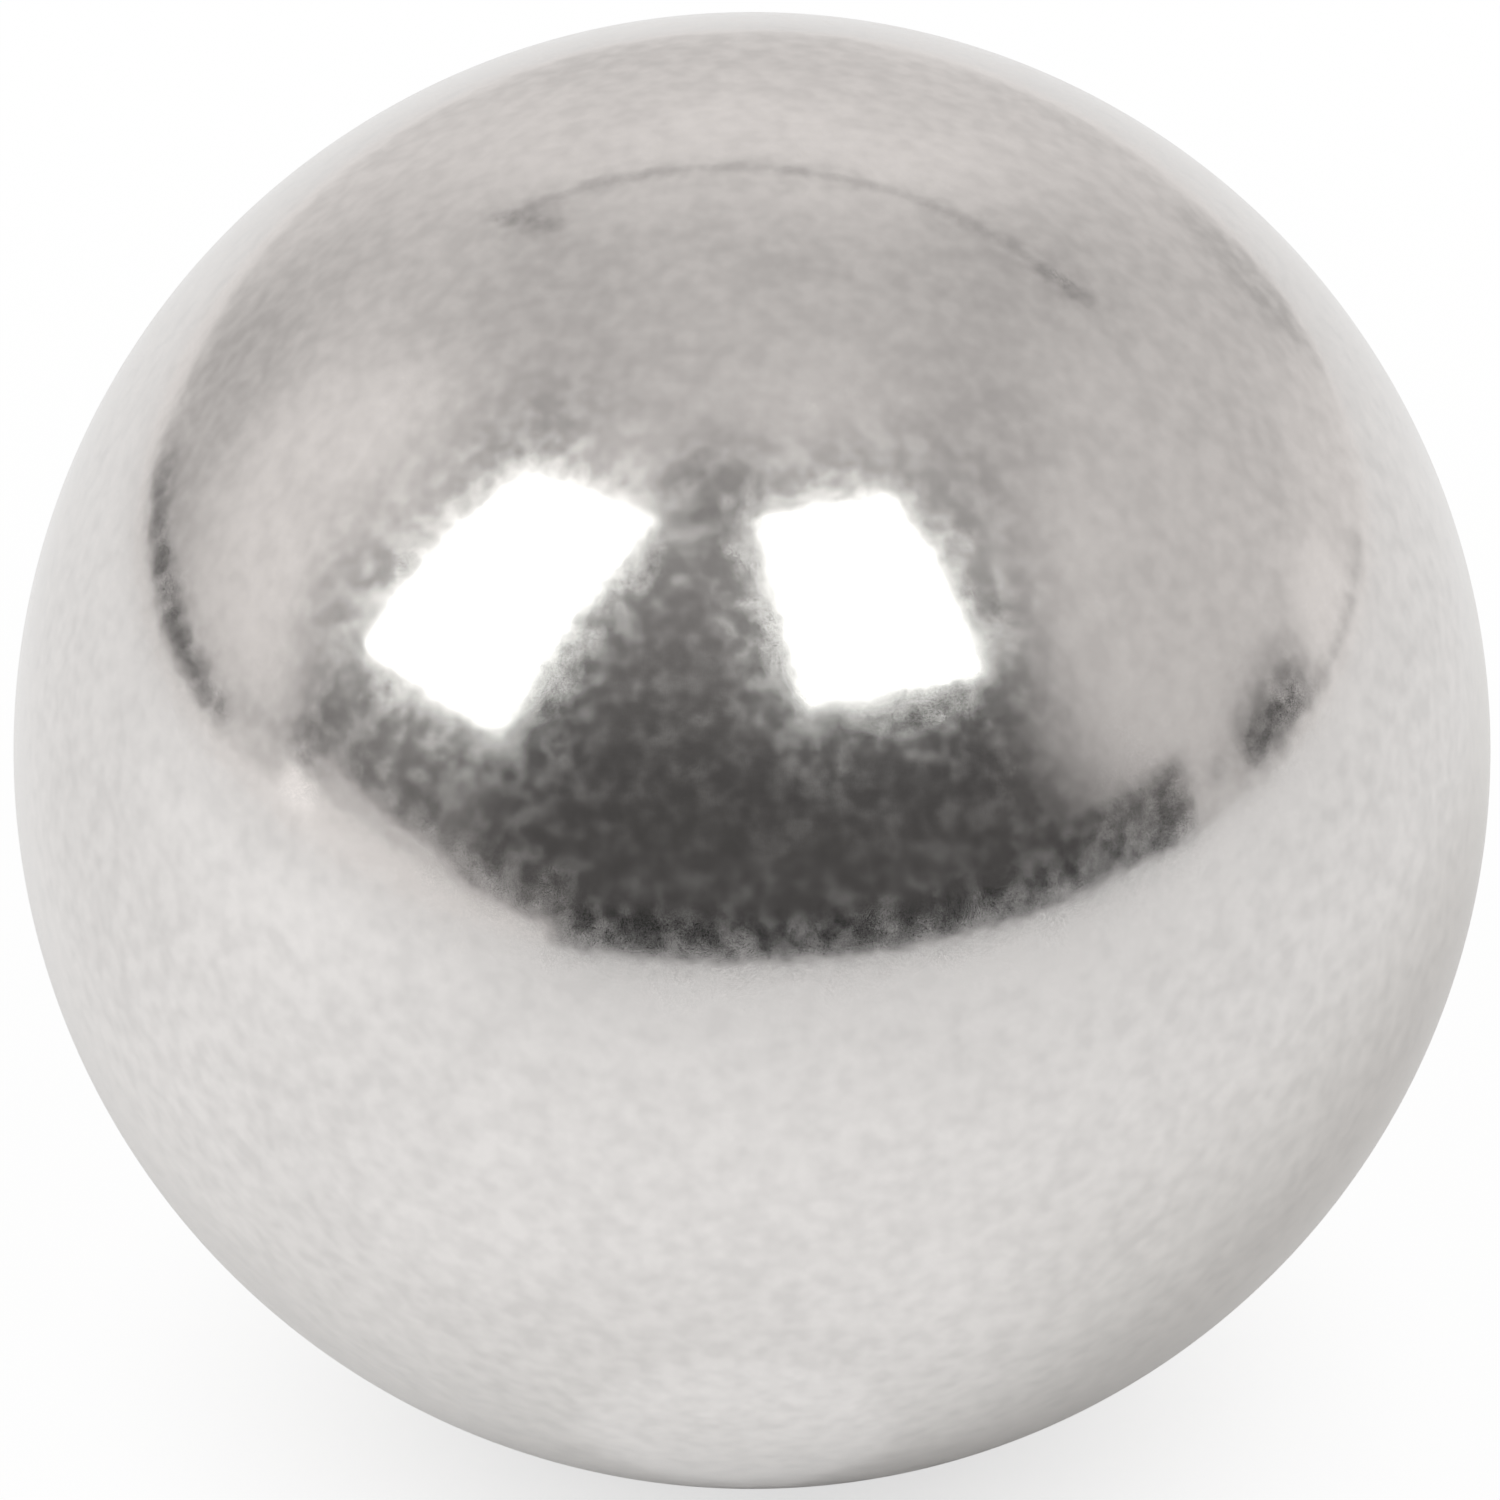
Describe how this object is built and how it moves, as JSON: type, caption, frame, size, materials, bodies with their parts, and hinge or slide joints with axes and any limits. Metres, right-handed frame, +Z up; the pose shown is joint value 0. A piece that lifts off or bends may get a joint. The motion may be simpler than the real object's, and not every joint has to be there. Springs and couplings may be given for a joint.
{
  "type": "steel ball",
  "caption": "Solid steel ball with a ground and polished, near-mirror surface; rolls, drops, swings as a bob or seats in a cup, cone or race.",
  "frame": {"origin": "centre of the ball", "axes": "+Z up, away from the surface or seat that the ball lies on; every axis through the centre is an axis of symmetry"},
  "size_m": [0.0254, 0.0254, 0.0254],
  "materials": {
    "polished_steel": "polished"
  },
  "bodies": {
    "root": {"ball": "polished_steel"}
  },
  "joints": []
}
